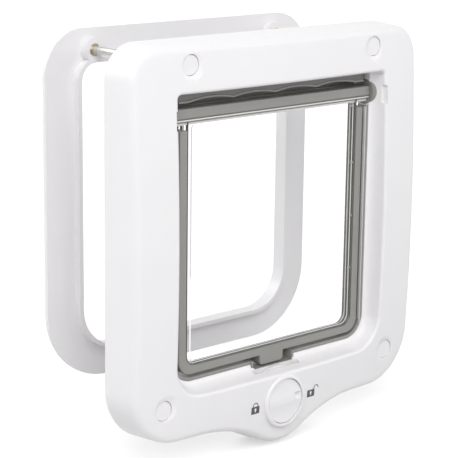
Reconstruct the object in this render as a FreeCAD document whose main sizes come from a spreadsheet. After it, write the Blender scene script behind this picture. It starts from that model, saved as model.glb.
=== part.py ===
"""Cat flap for a door: inner frame with a clear swinging flap and a turn-dial lock, and an outer frame.

The frame of the model: X to the right, Y through the door to the outside, Z up, in millimetres.
The origin is the middle of the passage, in the plane where the inner frame meets the door leaf.
"""
import FreeCAD, Part
import math
import os
import Sketcher

os.makedirs("parts", exist_ok=True)
doc = FreeCAD.newDocument("cat_flap")

# Driving dimensions, which the spreadsheet keeps
SIZES = [
    # inner frame: outline in the door plane, walls and draft
    ("frame_half", 100.0), ("frame_top", 100.0), ("frame_low", 99.6), ("corner_top", 17.5),
    ("corner_low", 30.5), ("lobe_wall", 3.9), ("lobe_blend", 77.5), ("lobe_round", 29.5),
    ("frame_draft", 4.2), ("frame_edge", 4.0), ("frame_wall", 2.2), ("front_wall", 2.6),
    # crown of its front face: how far it stands over the wheel, its two radii, and the angle that the cut sweeps
    ("crown_over", 8.6), ("crown_low", 5.0), ("crown_side", 1180.0), ("crown_rise", 1250.0), ("crown_sweep", 16.0),
    # borders round the opening, and the scooped reveal that leads to the throat
    ("border_side", 27.6), ("border_top", 24.35), ("border_low", 23.95), ("open_round_top", 2.5),
    ("open_round_low", 17.0), ("reveal_side", 4.1), ("reveal_low", 5.05), ("throat_round_top", 1.0),
    ("mouth_edge", 1.6),
    # screws and their caps
    ("cap_top_side", 36.4), ("cap_top_down", 10.65), ("cap_low_side", 20.2), ("cap_low_up", 20.25),
    ("cap_radius", 4.95), ("cap_sunk", 1.15), ("cap_thick", 1.4), ("cap_gap", 0.25), ("cap_skirt", 4.0),
    ("cap_wall", 1.0), ("dish_radius", 16.5), ("dish_depth", 1.4), ("tower_wall", 3.1),
    ("seat_down", 10.8), ("screw_radius", 2.0), ("screw_gap", 0.3), ("head_radius", 4.0), ("head_thick", 2.6),
    ("socket_radius", 1.45), ("socket_deep", 1.6), ("wood_screw_reach", 20.0), ("wood_screw_tip", 5.0),
    ("neck_radius", 1.7), ("neck_end", 0.5),
    # hinge
    ("hinge_down", 11.65), ("pocket_radius", 6.8), ("pocket_deep", 4.4), ("boss_wall", 2.0), ("boss_end", 1.2),
    ("pin_radius", 1.5), ("pin_gap", 0.06), ("pin_in_rail", 10.0), ("pin_short", 0.7),
    ("bush_radius", 3.4), ("bush_spigot", 4.4), ("fit_gap", 0.02), ("end_gap", 0.4),
    ("rail_thick", 8.8), ("rail_rise", 3.4), ("rail_fall", 1.7), ("rail_edge", 0.8), ("rail_lip", 1.8),
    ("lip_wall", 2.6), ("rail_side_gap", 0.3), ("pane_under_pin", 0.5), ("notch_deep", 1.2), ("notch_rise", 4.2),
    ("notch_fall", 5.6), ("notch_back", 5.5),
    # flap
    ("pane_thick", 1.8), ("pane_round", 5.0), ("pane_in", 1.2), ("pane_in_low", 2.4), ("field_in", 4.1),
    ("field_in_low", 1.0), ("field_down", 4.6), ("field_rise", 0.5), ("field_round", 3.0), ("field_bevel", 40.0),
    ("flap_gap", 2.6), ("flap_gap_low", 1.6), ("rim_wide", 5.0), ("rim_wide_low", 4.6), ("rim_down", 7.55),
    ("rim_thick", 7.2), ("rim_round", 8.0), ("rim_inner_round", 6.0), ("rim_edge", 0.6), ("slip", 0.05),
    ("small_round", 0.8), ("rung_pitch", 29.0), ("rung_middle", 2.1), ("rung_size", 1.2), ("rung_proud", 0.7),
    ("tab_half", 8.35), ("tab_drop", 5.35), ("tab_round", 2.0), ("magnet_wall", 2.35), ("magnet_thick", 3.0),
    ("magnet_height", 3.0), ("magnet_sunk", 0.3), ("keeper_deep", 6.0), ("keeper_thick", 3.0), ("cup_wall", 1.2),
    ("glue_gap", 0.05),
    # liner round the flap
    ("liner_wall", 1.5), ("liner_round", 12.4), ("flange_proud", 2.8), ("flange_thick", 2.0), ("seat_gap", 0.2),
    ("liner_down", 0.3), ("liner_sunk", 0.3), ("tab_side_gap", 5.55), ("tab_under_gap", 0.75),
    ("tray_wall", 1.3), ("tray_past", 0.8), ("tray_slot_gap", 0.5),
    # hinge housing above the flap
    ("housing_in", 3.7), ("housing_sunk", 1.3), ("housing_back", 1.0), ("housing_wall", 1.3),
    ("housing_back_rise", 2.8), ("rail_gap", 2.5), ("scallop_rise", 1.5), ("bead_high", 0.9), ("bead_proud", 0.5),
    ("rib_end", 6.6), ("rib_thick", 1.0), ("rib_short", 0.3),
    # lock
    ("lock_down", 18.2), ("sill", 1.0), ("dial_gap", 0.3), ("ring_wide", 2.3), ("ring_proud", 1.6),
    ("ring_edge", 1.3), ("bearing_gap", 0.4), ("dial_thick", 3.0), ("dial_sunk", 0.2),
    ("dial_under_gap", 0.2), ("dial_edge", 0.7), ("dial_scoop", 40.0), ("scoop_depth", 0.7),
    ("ridge_half", 1.2), ("mark_in", 3.5), ("mark_turn", 11.0), ("mark_long", 6.0), ("mark_wide", 5.0),
    ("mark_deep", 1.3), ("mark_floor_near", 0.9), ("mark_floor_far", 1.8), ("mark_floor_half", 1.0),
    ("spindle_radius", 4.0), ("spindle_gap", 0.05),
    ("key_side", 5.0), ("key_reach", 9.0), ("wheel_clear", 0.6), ("wheel_step", 2.8), ("wheel_half_angle", 50.0),
    ("tab_gap_front", 2.3), ("tab_gap_back", 2.6), ("wheel_back", 1.4), ("wheel_plate", 2.0),
    ("wheel_hub", 8.0), ("wheel_gap", 0.4), ("lock_screw_radius", 1.4), ("lock_screw_head", 2.8),
    ("lock_screw_thick", 1.8), ("lock_screw_reach", 10.0), ("lock_socket_radius", 1.1),
    # outer frame
    ("door_thick", 58.0), ("outer_in", 8.4), ("outer_up", 0.2), ("outer_low_up", 14.9),
    ("outer_corner_top", 23.5), ("outer_corner_low", 38.5), ("outer_plate", 3.6), ("outer_edge", 1.7),
    ("band_side", 19.7), ("band_top", 17.2), ("band_low", 17.1), ("way_corner_top", 9.5),
    ("way_corner_low", 22.0), ("collar_height", 4.6), ("collar_wall", 2.2), ("nut_boss_wall", 2.8),
    ("nut_boss_rise", 4.4), ("insert_radius", 3.2), ("insert_length", 5.6), ("insert_start", 0.4),
    # how far a cutting tool runs past the face that it cuts
    ("past", 1.0), ("far_past", 20.0),
]

# Places and sizes that follow from the driving ones
LINKS = {
    "open_half": "frame_half - border_side",
    "open_top": "frame_top - border_top",
    "open_low": "frame_low - border_low",
    "throat_half": "open_half - reveal_side",
    "throat_low": "open_low - reveal_low",
    "throat_round": "liner_round + seat_gap",
    "cap_top_x": "frame_half - cap_top_side",
    "cap_top_z": "frame_top - cap_top_down",
    "cap_low_x": "frame_half - cap_low_side",
    "cap_low_z": "frame_low - cap_low_up",
    "tower_radius": "head_radius + screw_gap + tower_wall",
    "axis_depth": "wheel_back + wheel_plate + tab_gap_back + rim_thick / 2",
    "axis_height": "open_top - hinge_down",
    "flap_front": "axis_depth + rim_thick / 2",
    "throat_depth": "flap_front + liner_sunk",
    "wheel_front": "flap_front + tab_gap_front + wheel_plate",
    "crown_depth": "wheel_front + crown_over",
    "mouth_depth": "crown_depth - past",
    "rail_half": "throat_half - rail_side_gap",
    "pocket_half": "throat_half + pocket_deep",
    "bush_outer": "pocket_half + bush_spigot",
    "boss_outer": "bush_outer + boss_end",
    "pin_inner": "rail_half - pin_in_rail",
    "pin_outer": "bush_outer - pin_short",
    "liner_outer": "throat_half - seat_gap",
    "liner_low": "throat_low - seat_gap",
    "liner_top": "axis_height - pocket_radius - liner_down",
    "rim_half": "liner_outer - liner_wall - flap_gap",
    "rim_low": "liner_low - liner_wall - flap_gap_low",
    "rim_top": "axis_height - rim_down",
    "rim_inner": "rim_half - rim_wide",
    "rim_inner_low": "rim_low - rim_wide_low",
    "pane_half": "rim_half - pane_in",
    "pane_low": "rim_low - pane_in_low",
    "pane_top": "axis_height - pin_radius - pane_under_pin",
    "field_half": "rim_inner - field_in",
    "field_low": "rim_inner_low - field_in_low",
    "field_top": "axis_height - field_down",
    "tab_low": "rim_low + tab_drop",
    "magnet_half": "tab_half - magnet_wall",
    "tray_inner": "tab_half + tab_side_gap",
    "tray_floor": "tab_low + tab_under_gap",
    "tray_front": "flap_front + tray_past",
    "tray_back": "wheel_back + wheel_plate + tray_slot_gap",
    "housing_half": "throat_half - housing_in",
    "housing_front": "throat_depth - housing_sunk",
    "scallop_low": "axis_height + rail_rise + rail_gap",
    "rib_low": "scallop_low + rib_short",
    "rib_pitch": "(housing_half - rib_end) / 2",
    "lock_height": "tab_low + lock_down",
    "wheel_open": "lock_down - wheel_clear",
    "wheel_high": "wheel_open + wheel_step",
    "slot_depth": "lock_height - open_low - frame_wall",
    "slot_half": "sqrt((wheel_high + wheel_gap) * (wheel_high + wheel_gap) - slot_depth * slot_depth)",
    "lobe_low": "lock_height + wheel_high + lobe_wall",
    "dial_radius": "lock_height - open_low - ring_wide - sill",
    "rim_ring": "dial_radius + ring_wide",
    "mark_out": "dial_radius - mark_in",
    "outer_half": "frame_half - outer_in",
    "outer_top": "frame_top + outer_up",
    "outer_low": "frame_low - outer_low_up",
    "way_half": "outer_half - band_side",
    "way_top": "outer_top - band_top",
    "way_low": "outer_low - band_low",
    "nut_boss_radius": "insert_radius + nut_boss_wall",
    "insert_back": "door_thick - nut_boss_rise + insert_start + insert_length",
}

sheet = doc.addObject("Spreadsheet::Sheet", "sizes")
for row, (alias, number) in enumerate(SIZES, start=1):
    sheet.set(f"A{row}", alias)
    sheet.set(f"B{row}", str(number))
    sheet.setAlias(f"B{row}", alias)
doc.recompute()


def spelled(word):
    """One word of a size's text: a name of the sheet, a link's own text, or the word itself."""
    if word in NAMES:
        return f"sizes.{word}"
    return f"({full(LINKS[word])})" if word in LINKS else word


def full(text):
    """The text of a size, with every name in it traced back to the sheet."""
    out, word = "", ""
    for mark in text + " ":
        if mark.isalnum() or mark == "_":
            word += mark
            continue
        out += spelled(word) + mark
        word = ""
    return out.strip()


def value(text):
    """The number that a size's text gives now."""
    return float(sheet.evalExpression(full(text)))


def bind(thing, prop, text):
    """Ties one property of an object to the sheet."""
    thing.setExpression(prop, full(str(text)))


NAMES = {alias for alias, number in SIZES}


# Sketches on the planes of a body
def plane_of(body, role):
    """A plane or axis of the body's own origin."""
    for feature in body.Origin.OriginFeatures:
        if feature.Role == role:
            return feature
    raise RuntimeError(f"{body.Name} has no {role}")


def new_body(name):
    return doc.addObject("PartDesign::Body", name)


def new_sketch(body, name, role="XZ_Plane", lift="0"):
    """A sketch on a plane of the body, moved along the plane's normal by lift."""
    sketch = body.newObject("Sketcher::SketchObject", name)
    sketch.AttachmentSupport = (plane_of(body, role), [""])
    sketch.MapMode = "FlatFace"
    if lift != "0":
        bind(sketch, "AttachmentOffset.Base.z", lift)
    return sketch


def named(sketch, name, text, *constraint):
    """A driving dimension of the sketch, tied to the sheet."""
    index = sketch.addConstraint(Sketcher.Constraint(*constraint, value(text)))
    sketch.renameConstraint(index, name)
    bind(sketch, f"Constraints.{name}", text)


def line(x0, z0, x1, z1):
    return Part.LineSegment(FreeCAD.Vector(x0, z0, 0), FreeCAD.Vector(x1, z1, 0))


def arc(x, z, radius, start, end):
    """An arc about (x, z), counter-clockwise between two angles in degrees."""
    circle = Part.Circle(FreeCAD.Vector(x, z, 0), FreeCAD.Vector(0, 0, 1), radius)
    return Part.ArcOfCircle(circle, math.radians(start), math.radians(end))


def join_ends(sketch, count):
    """Makes a ring of lines and arcs tangent from each end to the next start."""
    for index in range(count):
        follower = (index + 1) % count
        sketch.addConstraint(Sketcher.Constraint("Tangent", index, 2, follower, 1))


def rounded_rect(sketch, half, low, top, round_low, round_top):
    """A rectangle about the Z axis from -low to top, with its lower and upper corners rounded."""
    w, b, t = value(half), -value(low), value(top)
    rb, rt = value(round_low), value(round_top)
    sketch.addGeometry([
        line(-w + rb, b, w - rb, b), arc(w - rb, b + rb, rb, -90, 0),
        line(w, b + rb, w, t - rt), arc(w - rt, t - rt, rt, 0, 90),
        line(w - rt, t, -w + rt, t), arc(-w + rt, t - rt, rt, 90, 180),
        line(-w, t - rt, -w, b + rb), arc(-w + rb, b + rb, rb, 180, 270)])
    join_ends(sketch, 8)
    for index in (0, 4):
        sketch.addConstraint(Sketcher.Constraint("Horizontal", index))
    for index in (2, 6):
        sketch.addConstraint(Sketcher.Constraint("Vertical", index))
    sketch.addConstraint(Sketcher.Constraint("Equal", 1, 7))
    sketch.addConstraint(Sketcher.Constraint("Equal", 3, 5))
    named(sketch, "right", half, "DistanceX", -1, 1, 2, 1)
    named(sketch, "left", half, "DistanceX", 6, 1, -1, 1)
    named(sketch, "top", top, "DistanceY", -1, 1, 4, 1)
    named(sketch, "low", low, "DistanceY", 0, 1, -1, 1)
    named(sketch, "round_low", round_low, "Radius", 1)
    named(sketch, "round_top", round_top, "Radius", 3)


def lobed_outline(sketch, inset):
    """The inner frame's outline: a rounded square with a lobe hanging from its lower edge."""
    w, t = value(f"frame_half - {inset}"), value(f"frame_top - {inset}")
    b, lobe = value(f"frame_low - {inset}"), value(f"lobe_low - {inset}")
    rt, rb = value(f"corner_top - {inset}"), value(f"corner_low - {inset}")
    rc, rl = value(f"lobe_blend + {inset}"), value(f"lobe_round - {inset}")
    drop = lobe - b
    reach = math.sqrt(2 * (rc + rl) * drop - drop * drop)
    lean = math.degrees(math.asin(reach / (rc + rl)))
    sketch.addGeometry([
        line(w, -b + rb, w, t - rt), arc(w - rt, t - rt, rt, 0, 90),
        line(w - rt, t, -w + rt, t), arc(-w + rt, t - rt, rt, 90, 180),
        line(-w, t - rt, -w, -b + rb), arc(-w + rb, -b + rb, rb, 180, 270),
        line(-w + rb, -b, -reach, -b), arc(-reach, -b - rc, rc, 90 - lean, 90),
        arc(0, -lobe + rl, rl, 270 - lean, 270 + lean), arc(reach, -b - rc, rc, 90, 90 + lean),
        line(reach, -b, w - rb, -b), arc(w - rb, -b + rb, rb, 270, 360)])
    ends = [(0, 2, 1, 1), (1, 2, 2, 1), (2, 2, 3, 1), (3, 2, 4, 1), (4, 2, 5, 1), (5, 2, 6, 1),
            (6, 2, 7, 2), (7, 1, 8, 1), (8, 2, 9, 2), (9, 1, 10, 1), (10, 2, 11, 1), (11, 2, 0, 1)]
    for first, first_end, second, second_end in ends:
        sketch.addConstraint(Sketcher.Constraint("Tangent", first, first_end, second, second_end))
    for index in (2, 6, 10):
        sketch.addConstraint(Sketcher.Constraint("Horizontal", index))
    for index in (0, 4):
        sketch.addConstraint(Sketcher.Constraint("Vertical", index))
    for first, second in ((1, 3), (5, 11), (7, 9)):
        sketch.addConstraint(Sketcher.Constraint("Equal", first, second))
    sketch.addConstraint(Sketcher.Constraint("PointOnObject", 8, 3, -2))
    named(sketch, "right", f"frame_half - {inset}", "DistanceX", -1, 1, 0, 1)
    named(sketch, "left", f"frame_half - {inset}", "DistanceX", 4, 1, -1, 1)
    named(sketch, "top", f"frame_top - {inset}", "DistanceY", -1, 1, 2, 1)
    named(sketch, "low", f"frame_low - {inset}", "DistanceY", 6, 1, -1, 1)
    sketch.addConstraint(Sketcher.Constraint("PointOnObject", 10, 1, 6))
    named(sketch, "lobe", "lobe_low - lobe_round", "DistanceY", 8, 3, -1, 1)
    named(sketch, "round_top", f"corner_top - {inset}", "Radius", 1)
    named(sketch, "round_low", f"corner_low - {inset}", "Radius", 5)
    named(sketch, "blend", f"lobe_blend + {inset}", "Radius", 7)
    named(sketch, "round_lobe", f"lobe_round - {inset}", "Radius", 8)


def crown_profile(sketch, inset):
    """The air in front of the crowned face, in the plane x = 0, with the upright line it turns about."""
    rise, depth = value("crown_rise"), value(f"crown_depth - {inset}")
    low, side = value("crown_low"), value("crown_side")
    top, base, out = value("frame_top + far_past"), value("lobe_low + far_past"), value("crown_depth + far_past")
    centre = rise - depth
    start = 180 - math.degrees(math.asin((top + low) / rise))
    end = 180 + math.degrees(math.asin((base - low) / rise))
    face = arc(centre, -low, rise, start, end)
    x_top = centre - math.sqrt(rise ** 2 - (top + low) ** 2)
    x_base = centre - math.sqrt(rise ** 2 - (base - low) ** 2)
    sketch.addGeometry([face, line(x_base, -base, -out, -base), line(-out, -base, -out, top),
                        line(-out, top, x_top, top)])
    sketch.addGeometry(line(side - depth, -base, side - depth, top), True)
    for first, second in ((0, 1), (1, 2), (2, 3), (3, 0)):
        sketch.addConstraint(Sketcher.Constraint("Coincident", first, 2, second, 1))
    for index in (1, 3):
        sketch.addConstraint(Sketcher.Constraint("Horizontal", index))
    for index in (2, 4):
        sketch.addConstraint(Sketcher.Constraint("Vertical", index))
    named(sketch, "rise", "crown_rise", "Radius", 0)
    named(sketch, "centre", f"crown_rise - crown_depth + {inset}", "DistanceX", -1, 1, 0, 3)
    named(sketch, "crown_low", "crown_low", "DistanceY", 0, 3, -1, 1)
    named(sketch, "top", "frame_top + far_past", "DistanceY", -1, 1, 2, 2)
    named(sketch, "base", "lobe_low + far_past", "DistanceY", 2, 1, -1, 1)
    named(sketch, "out", "crown_depth + far_past", "DistanceX", 2, 1, -1, 1)
    named(sketch, "axis", f"crown_side - crown_depth + {inset}", "DistanceX", -1, 1, 4, 1)
    named(sketch, "axis_top", "frame_top + far_past", "DistanceY", -1, 1, 4, 2)
    named(sketch, "axis_base", "lobe_low + far_past", "DistanceY", 4, 1, -1, 1)


def pad(body, name, sketch, length, reverse=False, midplane=False, taper=None):
    feature = body.newObject("PartDesign::Pad", name)
    feature.Profile = sketch
    bind(feature, "Length", length)
    feature.Reversed = reverse
    if midplane:
        feature.Midplane = True
    if taper:
        bind(feature, "TaperAngle", taper)
    doc.recompute()
    return feature


def pocket(body, name, sketch, length=None, reverse=False):
    """A cut along the sketch's normal, both ways through the body where no length is given."""
    before = body.Shape.Volume
    feature = body.newObject("PartDesign::Pocket", name)
    feature.Profile = sketch
    if length is None:
        feature.Type = "ThroughAll"
        feature.Midplane = True
    else:
        bind(feature, "Length", length)
        feature.Reversed = reverse
    doc.recompute()
    if not body.Shape.Volume < before - 1e-6:
        raise RuntimeError(f"{name} cuts nothing")
    return feature


def fillet(body, name, base, keep, radius):
    """Rounds the edges of a body's last feature that keep(edge) picks."""
    picked = [f"Edge{i}" for i, edge in enumerate(base.Shape.Edges, start=1) if keep(edge)]
    feature = body.newObject("PartDesign::Fillet", name)
    feature.Base = (base, picked)
    bind(feature, "Radius", radius)
    doc.recompute()
    return feature


# Plain solids and booleans
def box(name, x0, x1, y0, y1, z0, z1):
    """A box between six places, each a text that the sheet works out."""
    solid = doc.addObject("Part::Box", name)
    for prop, low, high in (("Length", x0, x1), ("Width", y0, y1), ("Height", z0, z1)):
        bind(solid, prop, f"({high}) - ({low})")
    for axis, low in (("x", x0), ("y", y0), ("z", z0)):
        bind(solid, f"Placement.Base.{axis}", low)
    return solid


def rod(name, radius, along, start, end, first, second):
    """A cylinder along X or Y from start to end; first and second are its two other places."""
    solid = doc.addObject("Part::Cylinder", name)
    bind(solid, "Radius", radius)
    bind(solid, "Height", f"({end}) - ({start})")
    if along == "x":
        solid.Placement.Rotation = FreeCAD.Rotation(FreeCAD.Vector(0, 1, 0), 90)
        places = (("x", start), ("y", first), ("z", second))
    else:
        solid.Placement.Rotation = FreeCAD.Rotation(FreeCAD.Vector(1, 0, 0), -90)
        places = (("x", first), ("y", start), ("z", second))
    for axis, text in places:
        bind(solid, f"Placement.Base.{axis}", text)
    return solid


def cut(name, base, tool):
    result = doc.addObject("Part::Cut", name)
    result.Base = base
    result.Tool = tool
    return result


def fuse(name, pieces):
    result = doc.addObject("Part::MultiFuse", name)
    result.Shapes = pieces
    result.Refine = True
    return result


def common(name, pieces):
    result = doc.addObject("Part::MultiCommon", name)
    result.Shapes = pieces
    return result


def front_at(x, z):
    """The depth of the crowned face in front of the door plane, at a place."""
    return (f"(crown_depth - ({x}) * ({x}) / (2 * crown_side)"
            f" - ({z} + crown_low) * ({z} + crown_low) / (2 * crown_rise))")


SUBPARTS = []


def finish(thing, name):
    """Names a finished sub-part and puts it on the list that is written."""
    thing.Label = name
    SUBPARTS.append(thing)
    return thing


# Inner frame: one moulded shell, open towards the door
CORNERS = [("top_left", "-cap_top_x", "cap_top_z"), ("top_right", "cap_top_x", "cap_top_z"),
           ("low_left", "-cap_low_x", "-cap_low_z"), ("low_right", "cap_low_x", "-cap_low_z")]
SIDES = [("left", -1), ("right", 1)]


def crowned_block(name, inset, front_inset, edge=None):
    """A drafted block with the frame's outline and its crowned front."""
    body = new_body(name)
    outline = new_sketch(body, f"{name}_outline")
    lobed_outline(outline, inset)
    block = pad(body, f"{name}_block", outline, "crown_depth + crown_over", taper="-frame_draft")
    profile = new_sketch(body, f"{name}_profile", "YZ_Plane")
    crown_profile(profile, front_inset)
    doc.recompute()
    before = body.Shape.Volume
    crown = body.newObject("PartDesign::Groove", f"{name}_crown")
    crown.Profile = profile
    crown.ReferenceAxis = (profile, ["Axis0"])
    bind(crown, "Angle", "crown_sweep")
    crown.Midplane = True
    doc.recompute()
    if not body.Shape.Volume < before:
        raise RuntimeError(f"{name}: the crown cuts nothing")
    if edge:
        deep = -value("crown_depth") / 3
        fillet(body, f"{name}_edge", crown, lambda e: e.BoundBox.YMax < deep, edge)
    return body


shell = crowned_block("frame_shell", "0", "0", "frame_edge")
core = crowned_block("frame_core", "frame_wall", "front_wall")


def plate(name, draw, lift, length):
    """A body padded from y = -lift towards the room by length, from one drawn outline."""
    body = new_body(name)
    sketch = new_sketch(body, f"{name}_sketch", lift=lift)
    draw(sketch)
    pad(body, f"{name}_pad", sketch, length)
    return body


def rect(half, low, top, round_low, round_top):
    """A drawing function for a rounded rectangle."""
    return lambda sketch: rounded_rect(sketch, half, low, top, round_low, round_top)


def circle(x, z, radius):
    """A drawing function for a circle."""
    def draw(sketch):
        centre = FreeCAD.Vector(value(x), value(z), 0)
        sketch.addGeometry(Part.Circle(centre, FreeCAD.Vector(0, 0, 1), value(radius)))
        named(sketch, "radius", radius, "Radius", 0)
        if value(x):
            named(sketch, "across", x, "DistanceX", -1, 1, 0, 3)
        else:
            sketch.addConstraint(Sketcher.Constraint("PointOnObject", 0, 3, -2))
        named(sketch, "up", z, "DistanceY", -1, 1, 0, 3)
    return draw


def reveal(step):
    """The scooped reveal at one step from the throat (0) to the front edge (1): a quarter ellipse."""
    spread = math.sqrt(1 - (1 - step) ** 2)
    half = f"throat_half + {spread:.4f} * (open_half - throat_half)"
    low = f"throat_low + {spread:.4f} * (open_low - throat_low)"
    turn = f"throat_round + {spread:.4f} * (open_round_low - throat_round)"
    return rect(half, low, "open_top", turn, "open_round_top")


scoop = new_body("frame_scoop")
scoop_sections = []
for number, step in enumerate((0, 0.04, 0.16, 0.36, 0.64, 1)):
    section = new_sketch(scoop, f"scoop_section_{number}",
                         lift=f"throat_depth + {step} * (mouth_depth - throat_depth)")
    reveal(step)(section)
    scoop_sections.append(section)
doc.recompute()
scoop_loft = scoop.newObject("PartDesign::AdditiveLoft", "scoop_loft")
scoop_loft.Profile = scoop_sections[0]
scoop_loft.Sections = scoop_sections[1:]
doc.recompute()
scoop_mouth = new_sketch(scoop, "scoop_mouth", lift="mouth_depth")
reveal(1)(scoop_mouth)
pad(scoop, "scoop_front", scoop_mouth, "crown_over")
opening = shell.newObject("PartDesign::Boolean", "frame_opening")
opening.Type = "Cut"
opening.setObjects([scoop])
doc.recompute()


def at_mouth(edge):
    """Whether an edge runs round the opening, on the crowned face, which is all in front of the wheel."""
    span = edge.BoundBox
    return (span.YMax < -value("wheel_front") and abs(span.Center.x) < value("open_half + past")
            and -value("open_low + past") < span.Center.z < value("open_top + past"))


fillet(shell, "frame_mouth_edge", opening, at_mouth, "mouth_edge")

rim_block = plate("reveal_block", rect("open_half + frame_wall", "open_low + frame_wall", "open_top + frame_wall",
                                       "open_round_low + frame_wall", "open_round_top + frame_wall"),
                  "throat_depth - frame_wall", "crown_depth")
throat_block = plate("throat_block", rect("throat_half + frame_wall", "throat_low + frame_wall",
                                          "open_top + frame_wall", "throat_round + frame_wall",
                                          "open_round_top + frame_wall"),
                     "flange_thick", "throat_depth")
throat = plate("throat_space", rect("throat_half", "throat_low", "open_top", "throat_round", "throat_round_top"),
               "-past", "throat_depth + past + slip")
LOCK = f"({front_at('0', '-lock_height')})"
ring = plate("dial_ring", circle("0", "-lock_height", "rim_ring"), "wheel_front + bearing_gap",
             f"{LOCK} + ring_proud - wheel_front - bearing_gap")
ring_front = -value(f"{LOCK} + ring_proud")
fillet(ring, "dial_ring_edge", ring.Tip, lambda e: abs(e.BoundBox.YMax - ring_front) < 0.01, "ring_edge")

solids = [rim_block, throat_block]
for corner, x, z in CORNERS:
    solids.append(rod(f"tower_{corner}", "tower_radius", "y", "-crown_depth", "0", x, z))
for side, sign in SIDES:
    ends = ("throat_half", "boss_outer") if sign > 0 else ("-boss_outer", "-throat_half")
    solids.append(rod(f"hinge_boss_{side}", "pocket_radius + boss_wall", "x", *ends, "-axis_depth", "axis_height"))
inside = common("frame_inside", [shell, fuse("frame_blocks", solids)])
moulding = fuse("frame_moulding", [cut("frame_skin", shell, core), inside, ring])

holes = [throat]
holes.append(rod("hinge_pocket", "pocket_radius", "x", "-pocket_half", "pocket_half", "-axis_depth",
                 "axis_height"))
holes.append(rod("bush_bore", "bush_radius + fit_gap", "x", "-bush_outer", "bush_outer", "-axis_depth",
                 "axis_height"))
for corner, x, z in CORNERS:
    front = f"({front_at(x, z)})"
    dish = doc.addObject("Part::Sphere", f"dish_{corner}")
    bind(dish, "Radius", "dish_radius")
    for axis, place in (("x", x), ("y", f"dish_depth - dish_radius - {front}"), ("z", z)):
        bind(dish, f"Placement.Base.{axis}", place)
    holes.append(dish)
    holes.append(rod(f"cap_bore_{corner}", "cap_radius + cap_gap", "y", "-crown_depth - past",
                     f"cap_sunk + cap_thick + cap_skirt - {front}", x, z))
    holes.append(rod(f"head_bore_{corner}", "head_radius + screw_gap", "y", "-crown_depth",
                     f"seat_down - {front}", x, z))
    holes.append(rod(f"screw_bore_{corner}", "screw_radius + screw_gap", "y", "-crown_depth", "past", x, z))
holes.append(box("cup_space", "-magnet_half - cup_wall - seat_gap", "magnet_half + cup_wall + seat_gap",
                 "-axis_depth - keeper_deep / 2 - cup_wall - seat_gap", "0", "-open_low - frame_wall - past",
                 "-tray_floor"))
holes.append(box("wheel_slot", "-slot_half", "slot_half", "-wheel_front - bearing_gap",
                 "wheel_plate + bearing_gap - wheel_front", "-open_low - frame_wall - past",
                 "-throat_low + reveal_low"))
holes.append(box("tab_recess", "-tray_inner", "tray_inner", "-wheel_front - bearing_gap", "-tray_front",
                 "-tray_floor", "-throat_low + reveal_low"))
holes.append(box("rail_notch", "-open_half - notch_deep", "open_half + notch_deep", "-crown_depth",
                 "-throat_depth - notch_back", "axis_height - notch_fall", "axis_height + notch_rise"))
holes.append(rod("dial_space", "dial_radius + dial_gap", "y", "-crown_depth - past",
                 f"-({LOCK} + ring_proud - dial_sunk - dial_thick - dial_under_gap)", "0", "-lock_height"))
holes.append(rod("spindle_bore", "spindle_radius + spindle_gap", "y", "-crown_depth", "0", "0", "-lock_height"))
TRAY_OUT = "(tray_inner + tray_wall + seat_gap)"
holes.append(box("tray_space", f"-{TRAY_OUT}", TRAY_OUT, "-tray_front - seat_gap", "past",
                 "-tray_floor - tray_wall - seat_gap", "-throat_low + reveal_low"))
finish(cut("front_frame", moulding, fuse("frame_holes", holes)), "front_frame")

# Liner: a grey band inside the throat, with the tray that the flap's tab swings through
band = plate("liner_band", rect("liner_outer", "liner_low", "liner_top", "liner_round", "small_round"), "0",
             "flap_front")
flange = plate("liner_flange", rect("liner_outer + flange_proud", "liner_low + flange_proud", "liner_top",
                                    "liner_round + flange_proud", "small_round"), "0", "flange_thick")
tray = box("tray_outer", "-tray_inner - tray_wall", "tray_inner + tray_wall", "-tray_front", "0",
           "-tray_floor - tray_wall", "-liner_low + liner_wall")
cup = box("keeper_cup", "-magnet_half - cup_wall", "magnet_half + cup_wall",
          "-axis_depth - keeper_deep / 2 - cup_wall", "-axis_depth + keeper_deep / 2 + cup_wall",
          "-tray_floor - tray_wall - keeper_thick", "-tray_floor - tray_wall / 2")
liner_cuts = [
    plate("liner_way", rect("liner_outer - liner_wall", "liner_low - liner_wall", "liner_top + far_past",
                            "liner_round - liner_wall", "small_round"), "-past", "crown_depth"),
    box("tray_way", "-tray_inner", "tray_inner", "-tray_front - past", "past", "-tray_floor",
        "-liner_low + far_past"),
    box("tray_slot", "-tray_inner", "tray_inner", "-tray_back", "past", "-tray_floor - far_past",
        "-liner_low + far_past"),
    box("keeper_space", "-magnet_half - glue_gap", "magnet_half + glue_gap",
        "-axis_depth - keeper_deep / 2 - glue_gap", "-axis_depth + keeper_deep / 2 + glue_gap",
        "-tray_floor - tray_wall - keeper_thick - past", "-tray_floor - tray_wall")]
finish(cut("liner", fuse("liner_body", [band, flange, tray, cup]), fuse("liner_spaces", liner_cuts)), "liner")
finish(box("threshold_magnet", "-magnet_half", "magnet_half", "-axis_depth - keeper_deep / 2",
           "-axis_depth + keeper_deep / 2", "-tray_floor - tray_wall - keeper_thick", "-tray_floor - tray_wall"),
       "threshold_magnet")

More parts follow.
